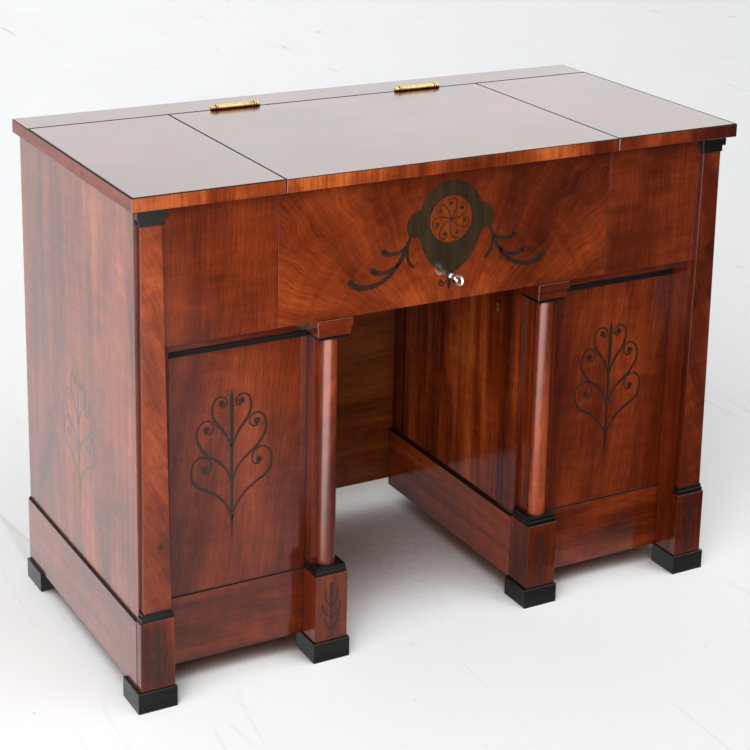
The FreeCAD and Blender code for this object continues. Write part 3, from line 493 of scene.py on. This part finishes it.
M = {
    "side": wood("mahogany_side", MAHOGANY, "z", 1.7, contrast=1.15, lift=-0.07, broad=0.50, bands=0.24,
                 streak=0.10, painted_light_slope=(0.0, 0.0, 0.22), coat_roughness=0.15),
    "fascia": wood("mahogany_fascia", MAHOGANY, "z", 3.3, contrast=0.6, lift=-0.15, broad=0.6, bands=0.12,
                   streak=0.20, ripple=0.2, painted_light_slope=(-0.05, 0.0)),
    "flame": wood("mahogany_flame", MAHOGANY, "z", 5.1, contrast=0.80, lift=-0.25, broad=0.74, bands=0.11,
                  streak=0.20, ripple=0.14, swirl=0.35, burst=True, painted_light_slope=(-0.34, 0.0),
                  patches=FLAME_PATCHES),
    "panel": wood("mahogany_panel", MAHOGANY, "z", 7.9, contrast=0.75, lift=-0.355, broad=0.6, bands=0.12,
                  streak=0.18, tilt=-6.0, painted_light_slope=(-0.05, 0.0, 0.46), patches=PANEL_PATCHES),
    "pilaster": wood("mahogany_pilaster", MAHOGANY, "z", 2.2, contrast=0.95, lift=-0.29, broad=0.7,
                     bands=0.12, streak=0.12, tilt=24.0, painted_light_slope=(-0.24, 0.0, 0.50), patches=PILASTER_PATCHES),
    "column": wood("mahogany_column", MAHOGANY, "z", 4.6, contrast=1.0, lift=0.09, broad=0.8, bands=0.2,
                   streak=0.12, ripple=0.12, painted_light_slope=(0.64, 0.0), coat_roughness=0.29),
    "post": wood("mahogany_post", MAHOGANY, "z", 6.4, contrast=0.6, lift=-0.26, streak=0.2, coat=0.5),
    "stile": wood("mahogany_stile", MAHOGANY, "z", 6.9, contrast=0.9, lift=-0.24, streak=0.2, coat=0.6),
    "plinth": wood("mahogany_plinth", MAHOGANY, "x", 8.8, contrast=0.75, lift=-0.18, broad=0.6, streak=0.12,
                   painted_light_slope=(0.06, 0.0)),
    "plinth_side": wood("mahogany_plinth_side", MAHOGANY, "y", 9.3, contrast=0.85, lift=-0.08, streak=0.16,
                        coat_roughness=0.14),
    "block": wood("mahogany_block", MAHOGANY, "z", 11.0, contrast=0.8, lift=-0.28, broad=0.6, streak=0.15,
                  painted_light_slope=(-0.12, 0.0), patches=BLOCK_PATCHES, coat=0.8),
    "capital": wood("mahogany_capital", MAHOGANY, "x", 12.5, contrast=0.8, lift=-0.15, streak=0.2),
    "door": wood("mahogany_door", MAHOGANY, "z", 13.4, contrast=1.12, lift=-0.045, broad=0.55, bands=0.4,
                 streak=0.2, painted_light_slope=(0.0, 0.9)),
    "back": wood("mahogany_back", BACK_BOARD, "x", 14.9, contrast=0.9, lift=0.23, broad=0.3, bands=0.5,
                 streak=0.2, coat=0.4, coat_roughness=0.3),
    "top": wood("mahogany_top", MAHOGANY, "x", 16.2, contrast=0.7, lift=-0.44, streak=0.12,
                coat_roughness=0.12, shade_and_dirt=0.2, wear=0.3, pores=0.03),
    "edge": wood("mahogany_edge", MAHOGANY, "z", 18.1, contrast=1.1, lift=0.05, broad=0.75, bands=0.25,
                 streak=0.12, painted_light_slope=(-0.50, 0.0), shade_and_dirt=0.2),
    "edge_side": wood("mahogany_edge_side", MAHOGANY, "y", 19.1, contrast=0.7, lift=0.02, streak=0.16,
                      coat=0.5, shade_and_dirt=0.2),
    "lining": wood("softwood_lining", PINE, "x", 21.0, roughness=0.6, coat=0.0, pores=0.2, wear=0.0),
    "boards": wood("softwood_boards", PINE, "x", 23.0, contrast=0.8, lift=-0.05, roughness=0.6, coat=0.0,
                   pores=0.2, wear=0.0, boards=BOARD_WIDTH),
    "lining_deep": wood("softwood_sides", PINE, "y", 22.0, roughness=0.6, coat=0.0, pores=0.2, wear=0.0),
    "ebony": dark_wood("ebonised_wood", (0.0042, 0.0044, 0.0042), (0.013, 0.011, 0.009), coat=0.24,
                       edge=(0.10, 0.065, 0.045)),
    "line": dark_wood("ebonised_line", (0.004, 0.004, 0.004), (0.009, 0.007, 0.006), roughness=0.6,
                      coat=0.0, wear=0.0),
    "inlay": dark_wood("dark_inlay", (0.019, 0.010, 0.006), (0.034, 0.015, 0.008), grain="z", wear=0.0,
                       coat=0.6, coat_roughness=0.12),
    "faded": dark_wood("faded_inlay", (0.052, 0.027, 0.017), (0.095, 0.042, 0.024), grain="z", wear=0.0,
                       coat=0.9, coat_roughness=0.13),
    "shield": dark_wood("shield_inlay", (0.017, 0.011, 0.004), (0.046, 0.021, 0.007), grain="z", wear=0.0,
                        coat=0.55, coat_roughness=0.2),
    "disc": wood("orange_disc", DISC_WOOD, "z", 24.0, shade_and_dirt=0.0, wear=0.0),
    "brass": metal("old_brass", (0.50, 0.33, 0.11), (0.075, 0.042, 0.015), 0.22, grime=0.9),
    "steel": metal("worn_steel", (0.72, 0.71, 0.69), (0.34, 0.31, 0.28), 0.26),
    "mirror": mirror_glass(),
}

# Dressing the CAD nodes. Each test below takes a face's centre and normal.
FACING = 0.9
HALF_FACING = 0.5
LEVEL = 0.3
UPRIGHT = 0.95
SMOOTH_BELOW = 35.0


def facing_front(centre, normal):
    return normal.y < -FACING


def facing_back(centre, normal):
    return normal.y > FACING


def facing_side(centre, normal):
    return abs(normal.x) > FACING


def facing_down(centre, normal):
    return normal.z < -FACING


def slanted(centre, normal):
    """The narrow eased edge of a board: its normal is neither upright nor level."""
    return LEVEL < abs(normal.z) < UPRIGHT


def top_arris(centre, normal):
    return centre.z > TOP_ARRIS_Z and slanted(centre, normal)


def plinth_arris(centre, normal):
    return centre.z > PLINTH_LINE_Z and slanted(centre, normal)


def plinth_inside(centre, normal):
    """The underside of a plinth and the cupboard floor within it."""
    floor = normal.z > FACING and CUPBOARD_INNER_X < abs(centre.x) < CUPBOARD_OUTER_X
    return facing_down(centre, normal) or floor


def corner_post(centre, normal):
    return abs(centre.x) < CORNER_POST_X


def pilaster_flank(centre, normal):
    return abs(normal.x) > HALF_FACING


def capital_foot(centre, normal):
    return centre.z < CAPITAL_FOOT_Z


def post_flank(centre, normal):
    """The side of a column's post that lies flush with the kneehole door."""
    return facing_side(centre, normal) and abs(centre.x) < DOOR_FACE_X


def panel_fillet(centre, normal):
    in_front = PANEL_Y - FILLET_DEPTH < centre.y < PANEL_Y - FILLET_SLACK
    return in_front and FILLET_LOW_Z < centre.z < FILLET_HIGH_Z


def over_fillet(centre, normal):
    return centre.z > FILLET_HIGH_Z and normal.y < -HALF_FACING


def door_inside(centre, normal):
    return facing_side(centre, normal) and abs(centre.x) > DOOR_BACK_X


# The first line whose prefix fits a node's name dresses it. Where a face passes several tests, the last
# one counts.
DRESS = (
    ("side_panel", "side", (("post", corner_post),)),
    ("plinth", "plinth",
     (("line", plinth_arris), ("plinth_side", facing_side), ("lining_deep", plinth_inside))),
    ("corner_block", "block", ()),
    ("column_block", "block", ()),
    ("corner_base", "ebony", ()),
    ("column_base", "ebony", ()),
    ("pilaster_capital", "ebony", ()),
    ("foot_", "ebony", ()),
    ("pilaster", "pilaster", (("post", pilaster_flank),)),
    ("column_capital", "capital", (("ebony", capital_foot),)),
    ("column_post", "stile", (("door", post_flank),)),
    ("column", "column", ()),
    ("front_panel", "panel", (("line", panel_fillet), ("capital", over_fillet), ("lining", facing_back))),
    ("fascia", "fascia", (("lining", facing_back),)),
    ("rear_stile", "stile", ()),
    ("door_pivot", "steel", ()),
    ("door", "door", (("lining_deep", door_inside),)),
    ("flap_hinge", "brass", ()),
    ("flap", "top", (("line", top_arris), ("edge", facing_front), ("edge_side", facing_side))),
    ("rear_rail", "top", (("line", top_arris), ("edge_side", facing_side))),
    ("lid_hinge", "brass", ()),
    ("lid", "top", (("line", top_arris), ("edge", facing_front))),
    ("drawer_front", "flame", (("lining", facing_back),)),
    ("drawer_side", "lining_deep", ()),
    ("drawer_rail", "lining", (("back", facing_down),)),
    ("drawer_back", "lining", ()),
    ("drawer_bottom", "lining", ()),
    ("drawer_lock", "brass", ()),
    ("dust_board", "lining", (("back", facing_down),)),
    ("case_partition", "lining", ()),
    ("back_panel", "lining", (("back", facing_front), ("boards", facing_back))),
    ("lock_bolt", "brass", ()),
    ("key", "steel", ()),
    ("mirror", "mirror", ()),
)
SMOOTH = ("column", "door", "lid_hinge", "key")


def dress(name, material, faces):
    """Gives a node its material, and other materials to the faces that pass a test."""
    data = nodes[name].data
    data.materials.clear()
    data.materials.append(M[material])
    for key, _ in faces:
        data.materials.append(M[key])
    for polygon in data.polygons:
        polygon.material_index = 0
        for index, (_, test) in enumerate(faces):
            if test(polygon.center, polygon.normal):
                polygon.material_index = index + 1


def smooth(name):
    data = nodes[name].data
    for polygon in data.polygons:
        polygon.use_smooth = True
    data.set_sharp_from_angle(angle=math.radians(SMOOTH_BELOW))


def dress_all():
    for name in nodes:
        start, material, faces = next(line for line in DRESS if name.startswith(line[0]))
        dress(name, material, faces)
        if start in SMOOTH:
            smooth(name)


# Marquetry. Its drawings and the values that end in MM are in millimetres, the others in metres. Strips
# that cross in one drawing differ in height by a layer, so that none lies in the plane of another.
LIFT = 0.00012
SINK = 0.0004
LAYER = 0.000002
LAYERS = 7

TREE_X = 0.347
TREE_FOOT_MM = 220
SIDE_TREE_Y = 0.262 - DEPTH_SHIFT
SIDE_TREE_Z = 0.229
SIDE_TREE_SHARE = 0.915
CORNER_BLOCK_X = 0.4937
COLUMN_BLOCK_X = 0.197
SPRIG_FOOT_MM = 39
SPRAY_BOLDNESS = 1.15
PINWHEEL_Z_MM = 698
PINWHEEL_ARMS = 7
DISC_RADIUS_MM = 37.0
DISC_LIFT = LIFT * 1.4
SCROLL_LIFT = LIFT * 1.9


def spline(points, steps=7):
    """A smooth line through the points, with steps samples between each two."""
    line = []
    ends = [points[0]] + list(points) + [points[-1]]
    for i in range(1, len(ends) - 2):
        p0, p1, p2, p3 = (Vector(ends[i + k][:2]) for k in (-1, 0, 1, 2))
        for s in range(steps):
            t = s / steps
            line.append(0.5 * ((2 * p1) + (p2 - p0) * t + (2 * p0 - 5 * p1 + 4 * p2 - p3) * t * t
                               + (3 * p1 - p0 - 3 * p2 + p3) * t ** 3))
    line.append(Vector(points[-1][:2]))
    return line


def ribbon(points, widths, steps=7):
    """An inlaid line with a width that follows the given widths from its start to its end."""
    line = spline(points, steps)
    count = len(line)
    lefts, rights = [], []
    for i, p in enumerate(line):
        ahead = line[min(i + 1, count - 1)] - line[max(i - 1, 0)]
        side = Vector((-ahead.y, ahead.x)).normalized()
        place = i / (count - 1) * (len(widths) - 1)
        low = min(int(place), len(widths) - 2)
        half = (widths[low] + (widths[low + 1] - widths[low]) * (place - low)) / 2
        lefts.append(p + side * half)
        rights.append(p - side * half)
    return [(lefts[i], rights[i], rights[i + 1], lefts[i + 1]) for i in range(count - 1)]


def dot(centre, radius, count=20):
    x, y = centre
    turns = [2 * math.pi * k / count for k in range(count)]
    return [tuple(Vector((x + radius * math.cos(turn), y + radius * math.sin(turn))) for turn in turns)]


def flipped(shapes):
    return [tuple(Vector((-p.x, p.y)) for p in reversed(shape)) for shape in shapes]


def lifted(shapes, height):
    return [tuple(Vector((p.x, p.y + height)) for p in shape) for shape in shapes]


def front_plane(depth, centre=0.0):
    return lambda u, v: Vector((centre + u, depth, v))


def side_plane(x, centre, base):
    return lambda u, v: Vector((x, centre + u, base + v))


def top_plane(u, v):
    return Vector((u, v, TOP_Z))


def inlay(name, shapes, to_space, outward, body, material, lift=LIFT):
    """Flat shapes in millimetres, cut a little into the surface and standing a hair above it."""
    bm = bmesh.new()
    outward = Vector(outward)
    for order, shape in enumerate(shapes):
        raised = lift + LAYER * (order % LAYERS)
        low = [bm.verts.new(to_space(p.x * MM, p.y * MM) - outward * SINK) for p in shape]
        high = [bm.verts.new(vert.co + outward * (SINK + raised)) for vert in low]
        bm.faces.new(low[::-1])
        bm.faces.new(high)
        for i in range(len(shape)):
            bm.faces.new((low[i - 1], low[i], high[i], high[i - 1]))
    bmesh.ops.recalc_face_normals(bm, faces=bm.faces)
    data = bpy.data.meshes.new(name)
    bm.to_mesh(data)
    bm.free()
    data.materials.append(M[material])
    obj = bpy.data.objects.new(name, data)
    bpy.context.scene.collection.objects.link(obj)
    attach(obj, body)
    return obj


def scroll_tree():
    """A slender stem with three pairs of branches that curl into volutes."""
    shapes = ribbon([(0, 0), (0, 45), (0, 110), (0, 170), (0, 205), (0, 228), (0, 245)],
                    [0.8, 4.8, 5.2, 5.8, 6.2, 7.6, 0.4])
    low = [(0, 26), (1.8, 39), (5.5, 52), (14, 66), (27, 79), (42, 89), (56, 97), (64.5, 109), (66.5, 124),
           (62, 137.5), (52, 144), (42, 142.5), (35.5, 135), (34, 125), (38.5, 117.5), (46, 117.5)]
    middle = [(0, 84), (2.2, 98), (7, 113), (17, 127), (29.5, 137.5), (40, 145), (51, 159), (57, 174.5),
              (55.5, 189), (48, 199), (38.5, 200.7), (31, 195), (29.8, 186), (36, 179.5), (44, 181)]
    high = [(0, 142), (2, 155), (7.3, 169), (15.3, 182), (24.9, 194), (31, 207), (31.6, 222), (25.5, 233),
            (15.8, 235), (8.8, 229.5), (8.6, 221), (15.5, 217)]
    for branch, bead, size in ((low, (45.5, 123.0), 5.4), (middle, (41.5, 187.2), 5.4),
                               (high, (16.2, 224.6), 5.2)):
        half = ribbon(branch, [2.2, 3.2, 4.6, 4.6, 3.4, 3.0, 2.6, 3.4]) + dot(bead, size)
        shapes += half + flipped(half)
    return shapes


def sprig():
    """An upright leaf on a stem with three pairs of small curved branches."""
    shapes = ribbon([(0, 0), (0, 14), (0, 34), (0, 52), (0, 72), (0, 88), (0, 96)],
                    [2.0, 2.6, 4.0, 4.4, 6.6, 6.4, 0.5])
    for points in ([(0, 12), (4, 17), (9, 23), (11.5, 31), (11.8, 37)],
                   [(0, 31), (4, 36), (11, 43), (15, 52), (15.2, 61)],
                   [(0, 53), (4, 57), (9, 64), (11, 75), (9.4, 84)]):
        half = ribbon(points, [1.6, 2.6, 3.4, 3.6, 1.2])
        shapes += half + flipped(half)
    return shapes


def pinwheel_arm(turn):
    c, s = math.cos(turn), math.sin(turn)
    curl = [(0, 0), (3.2, 5.5), (7.6, 12.5), (9.8, 20.5), (8.8, 28.5), (4.6, 33.0), (-1.6, 33.0),
            (-5.4, 28.5), (-4.0, 23.2), (0.4, 22.4)]
    arm = ribbon(curl, [1.6, 1.9, 2.0, 2.0, 1.8, 1.6, 1.8]) + dot((-0.2, 25.4), 2.9)
    return [tuple(Vector((p.x * c - p.y * s, p.x * s + p.y * c)) for p in shape) for shape in arm]


def leaf_spray():
    """The leaf spray that hangs from the right lug of the shield."""
    leaves = (
        ([(69, 682), (73, 672), (80, 657), (90, 639), (105, 622.5), (124, 611.5), (146, 608), (163, 612),
          (176, 623)], [2.0, 5.5, 6.5, 6.0, 6.0, 6.5, 7.0, 9.0, 4.0]),
        ([(84, 650), (91, 638), (103, 630), (118, 627.5), (130, 629.5), (139, 636)],
         [3.0, 4.5, 5.5, 6.0, 8.5, 4.0]),
        ([(77, 666), (83, 660), (92, 656), (104, 655), (113, 657.5), (120, 663)],
         [3.0, 4.5, 5.0, 5.5, 8.0, 4.0]),
        ([(76, 668), (76, 655), (74.5, 644), (71, 635), (62, 628)], [3.0, 5.0, 4.5, 5.0, 2.5]),
    )
    shapes = []
    for points, widths in leaves:
        shapes += ribbon(points, [width * SPRAY_BOLDNESS for width in widths])
    return shapes + dot((172, 619.5), 5.8) + dot((134.5, 633), 5.4) + dot((116, 660), 5.2)


def shield():
    half = [(0, 759.5), (14, 758), (29, 751), (43, 740.5), (51, 728), (54, 720), (66, 714.5), (75, 705),
            (78, 694), (75.5, 683), (68, 676.5), (58, 675), (54, 669), (48, 652), (39, 636), (28, 624.5),
            (15, 615.5), (4, 608.5)]
    right = spline(half, 5)
    left = [Vector((-p.x, p.y)) for p in reversed(right)]
    return [tuple(right + left)]


def shield_finial():
    """The drop under the shield's point, with a curl to either side."""
    shapes = ribbon([(0, 606), (0, 600), (0, 594), (0, 584)], [2.4, 3.0, 7.0, 0.4])
    for sign in (-1, 1):
        curl = [(1, 604), (7, 597), (13, 592.5), (18, 596), (16.5, 601.5), (12, 600)]
        shapes += ribbon([(sign * x, y) for x, y in curl], [1.8, 2.4, 2.4, 2.2, 2.4])
        shapes += dot((sign * 13.5, 598), 2.4)
    return shapes


def edge_stringing(word, sign):
    """Black line let into the flap's top beside its front and outer edges."""
    front, rear, inner, outer, wide = -243.0, 186.8, 292.9, 527.7, 2.2
    strips = [[(outer - wide, rear), (outer - wide, front), (outer, front), (outer, rear)],
              [(inner, front), (outer, front), (outer, front + wide), (inner, front + wide)]]
    shapes = [tuple(Vector((sign * x, y)) for x, y in strip) for strip in strips]
    inlay(f"edge_stringing_{word}", shapes, top_plane, (0, 0, 1), f"flap_{word}", "line")


def marquetry():
    tree = scroll_tree()
    shorter = [tuple(Vector((p.x, p.y * SIDE_TREE_SHARE)) for p in shape) for shape in tree]
    leaf = lifted(sprig(), SPRIG_FOOT_MM)
    forward = (0, -1, 0)
    for word, sign in (("left", -1), ("right", 1)):
        inlay(f"scroll_tree_front_{word}", lifted(tree, TREE_FOOT_MM), front_plane(PANEL_Y, sign * TREE_X),
              forward, "case", "inlay")
        inlay(f"scroll_tree_side_{word}", shorter, side_plane(sign * SIDE_X, SIDE_TREE_Y, SIDE_TREE_Z),
              (sign, 0, 0), "case", "faded")
        edge_stringing(word, sign)
        inlay(f"sprig_corner_{word}", leaf, front_plane(CORNER_BLOCK_Y, sign * CORNER_BLOCK_X), forward,
              "case", "inlay")
        inlay(f"sprig_column_{word}", leaf, front_plane(COLUMN_BLOCK_Y, sign * COLUMN_BLOCK_X), forward,
              "case", "inlay")
    drawer = front_plane(FASCIA_Y)
    inlay("shield", shield(), drawer, forward, "drawer", "shield")
    inlay("leaf_spray_left", flipped(leaf_spray()), drawer, forward, "drawer", "inlay")
    inlay("leaf_spray_right", leaf_spray(), drawer, forward, "drawer", "inlay")
    circle = lifted(dot((0, 0), DISC_RADIUS_MM, count=72), PINWHEEL_Z_MM)
    disc = inlay("pinwheel_disc", circle, drawer, forward, "drawer", "disc", lift=DISC_LIFT)
    arms = []
    for k in range(PINWHEEL_ARMS):
        arms += pinwheel_arm(k * 2 * math.pi / PINWHEEL_ARMS)
    inlay("pinwheel_scrolls", lifted(arms, PINWHEEL_Z_MM), drawer, forward, "drawer", "inlay",
          lift=SCROLL_LIFT)
    inlay("shield_finial", shield_finial(), drawer, forward, "drawer", "inlay")


# Keyholes of the kneehole doors
KEYHOLE_Y = 0.152 - DEPTH_SHIFT
KEYHOLE_Z = 0.492
KEYHOLE_RADIUS_MM = 3.4
KEYHOLE_SLOT_MM = [(-2.6, -4.0), (-3.0, -9.6), (3.0, -9.6), (2.6, -4.0)]
THREAD_WIDTH_MM = 1.1
THREAD_LIFT = 0.0004


def door_escutcheon(word, sign):
    """A small brass thread round the keyhole of a kneehole door."""
    start, sweep, steps = -50, 280, 24
    outline = []
    for k in range(steps + 1):
        turn = math.radians(start + sweep * k / steps)
        outline.append((KEYHOLE_RADIUS_MM * math.cos(turn), KEYHOLE_RADIUS_MM * math.sin(turn)))
    outline += KEYHOLE_SLOT_MM
    shapes = ribbon(outline + outline[:1], [THREAD_WIDTH_MM, THREAD_WIDTH_MM], steps=2)
    obj = inlay(f"door_escutcheon_{word}", shapes, side_plane(sign * DOOR_X, KEYHOLE_Y, KEYHOLE_Z),
                (-sign, 0, 0), f"door_{word}", "brass", lift=THREAD_LIFT)


# Studio
FLOOR_HALF = 14.0
POLISH_FLOOR_Z = -0.004
CARD_X = -1.5
CARD_DEPTH = 4.0
CARD_HEIGHT = 2.2
CARD_STRENGTH = 1.6
CARD_COLOUR = (0.96, 0.98, 1.0, 1.0)
SEEN_COLOUR = (0.93, 0.93, 0.935, 1.0)
ROOM_COLOUR = (1.0, 1.0, 1.0, 1.0)
ROOM_LIGHT = 0.455

# In the polish the room is brighter where a ray of length 1 rises by more than this
CEILING_LOW, CEILING_HIGH = 0.205, 0.25
WALL_SHEEN, CEILING_SHEEN = 1.12, 1.68

# How brightly the floor shows in the polish
FLOOR_SHEEN = 0.85
RIGHT_LOSS = 0.80
WEDGE_GAIN = 7.6
BESIDE_GAIN = 0.50
KNEEHOLE_LOSS = 0.60


def plane_object(name, corners, material):
    data = bpy.data.meshes.new(name)
    data.from_pydata(corners, [], [(0, 1, 2, 3)])
    data.materials.append(material)
    obj = bpy.data.objects.new(name, data)
    bpy.context.scene.collection.objects.link(obj)
    return obj


def level_square(half, height):
    return [(-half, -half, height), (half, -half, height), (half, half, height), (-half, half, height)]


def glow(name, strength):
    """Plain light for a reflection card; the strength is a number or a pattern."""
    material = bpy.data.materials.new(name)
    material.use_nodes = True
    material.node_tree.nodes.clear()
    nd = Nodes(material.node_tree)
    light = nd.add("ShaderNodeEmission")
    light.inputs["Color"].default_value = CARD_COLOUR
    nd.put(light.inputs["Strength"], strength(nd) if callable(strength) else strength)
    output = nd.add("ShaderNodeOutputMaterial")
    nd.links.new(light.outputs[0], output.inputs[0])
    return material


def floor_glow(nd):
    """What polished faces see on the floor: bright to the front left, softer beside the case, dim in the
    kneehole and dark to the right. The bounds are places on the floor in metres."""
    x, y, _ = nd.axes(nd.place())
    ahead = nd.minus(-0.20, y)
    rightward = nd.minus(x, nd.times(ahead, 0.13))
    dark = nd.times(nd.spread(rightward, -0.10, 0.18, 0.0, 1.0), nd.spread(y, -0.22, -0.35, 0.0, 1.0))
    leftward = nd.minus(nd.times(ahead, 0.40), nd.plus(x, 0.59))
    wedge = nd.times(nd.spread(leftward, 0.0, 0.12, 0.0, 1.0), nd.spread(y, -0.16, -0.38, 0.0, 1.0))
    beside = nd.times(nd.spread(x, -0.45, -0.55, 0.0, 1.0), nd.spread(y, -0.42, -0.16, 0.0, 1.0))
    under = nd.spread(nd.math("ABSOLUTE", x), 0.17, 0.30, 1.0, 0.0)
    inside = nd.times(under, nd.spread(y, -0.26, -0.12, 0.0, 1.0))
    level = nd.minus(FLOOR_SHEEN, nd.times(dark, RIGHT_LOSS))
    level = nd.plus(level, nd.times(wedge, WEDGE_GAIN))
    level = nd.plus(level, nd.times(beside, BESIDE_GAIN))
    return nd.minus(level, nd.times(inside, KNEEHOLE_LOSS))


def reflection_card(name, corners, strength):
    """A board that only shows in reflections."""
    card = plane_object(name, corners, glow(name, strength))
    card.visible_camera = False
    card.visible_diffuse = False
    card.visible_shadow = False
    card.visible_transmission = False


def sun(name, toward, strength, spread):
    data = bpy.data.lights.new(name, "SUN")
    data.energy = strength
    data.angle = math.radians(spread)
    obj = bpy.data.objects.new(name, data)
    obj.rotation_euler = Vector(toward).to_track_quat("-Z", "Y").to_euler()
    bpy.context.scene.collection.objects.link(obj)


def soft_box(name, place, target, size, power):
    """A square lamp that gives no mirror image of itself."""
    data = bpy.data.lights.new(name, "AREA")
    data.energy = power
    data.size = size
    obj = bpy.data.objects.new(name, data)
    obj.location = place
    obj.rotation_euler = (Vector(target) - Vector(place)).to_track_quat("-Z", "Y").to_euler()
    obj.visible_glossy = False
    bpy.context.scene.collection.objects.link(obj)


def room():
    """A white room: even light, brighter overhead in the polish, and pale grey where it is seen itself."""
    world = bpy.data.worlds.new("studio")
    world.use_nodes = True
    world.node_tree.nodes.clear()
    nd = Nodes(world.node_tree)
    path = nd.add("ShaderNodeLightPath")
    soft = nd.add("ShaderNodeBackground")
    soft.inputs["Color"].default_value = ROOM_COLOUR
    upward = nd.axes(nd.add("ShaderNodeTexCoord").outputs["Generated"])[2]
    ceiling = nd.spread(upward, CEILING_LOW, CEILING_HIGH, WALL_SHEEN, CEILING_SHEEN)
    polished = nd.times(path.outputs["Is Glossy Ray"], ceiling)
    nd.put(soft.inputs["Strength"], nd.plus(polished, ROOM_LIGHT))
    seen = nd.add("ShaderNodeBackground")
    seen.inputs["Color"].default_value = SEEN_COLOUR
    seen.inputs["Strength"].default_value = 1.0
    mixed = nd.add("ShaderNodeMixShader")
    either = nd.math("MAXIMUM", path.outputs["Is Camera Ray"], path.outputs["Is Transmission Ray"])
    nd.put(mixed.inputs[0], either)
    nd.links.new(soft.outputs[0], mixed.inputs[1])
    nd.links.new(seen.outputs[0], mixed.inputs[2])
    output = nd.add("ShaderNodeOutputWorld")
    nd.links.new(mixed.outputs[0], output.inputs[0])
    bpy.context.scene.world = world


def studio():
    floor = plane_object("floor", level_square(FLOOR_HALF, 0), floor_white())
    floor.visible_glossy = False
    reflection_card("floor_in_polish", level_square(FLOOR_HALF, POLISH_FLOOR_Z), floor_glow)
    card = [(CARD_X, 0.0, 0.0), (CARD_X, CARD_DEPTH, 0.0), (CARD_X, CARD_DEPTH, CARD_HEIGHT),
            (CARD_X, 0.0, CARD_HEIGHT)]
    reflection_card("card_left", card, CARD_STRENGTH)
    sun("key_light", toward=(0.60, 0.50, -0.62), strength=1.5, spread=50)
    sun("fill_light", toward=(-0.35, 0.60, -0.72), strength=0.85, spread=60)
    soft_box("soft_box", place=(-2.3, -3.0, 2.1), target=(0.0, -0.1, 0.45), size=1.5, power=55.0)
    room()
    bpy.context.scene.view_settings.view_transform = "Standard"
    bpy.context.scene.view_settings.look = "None"


make_camera()
dress_all()
marquetry()
door_escutcheon("right", 1)
door_escutcheon("left", -1)
studio()
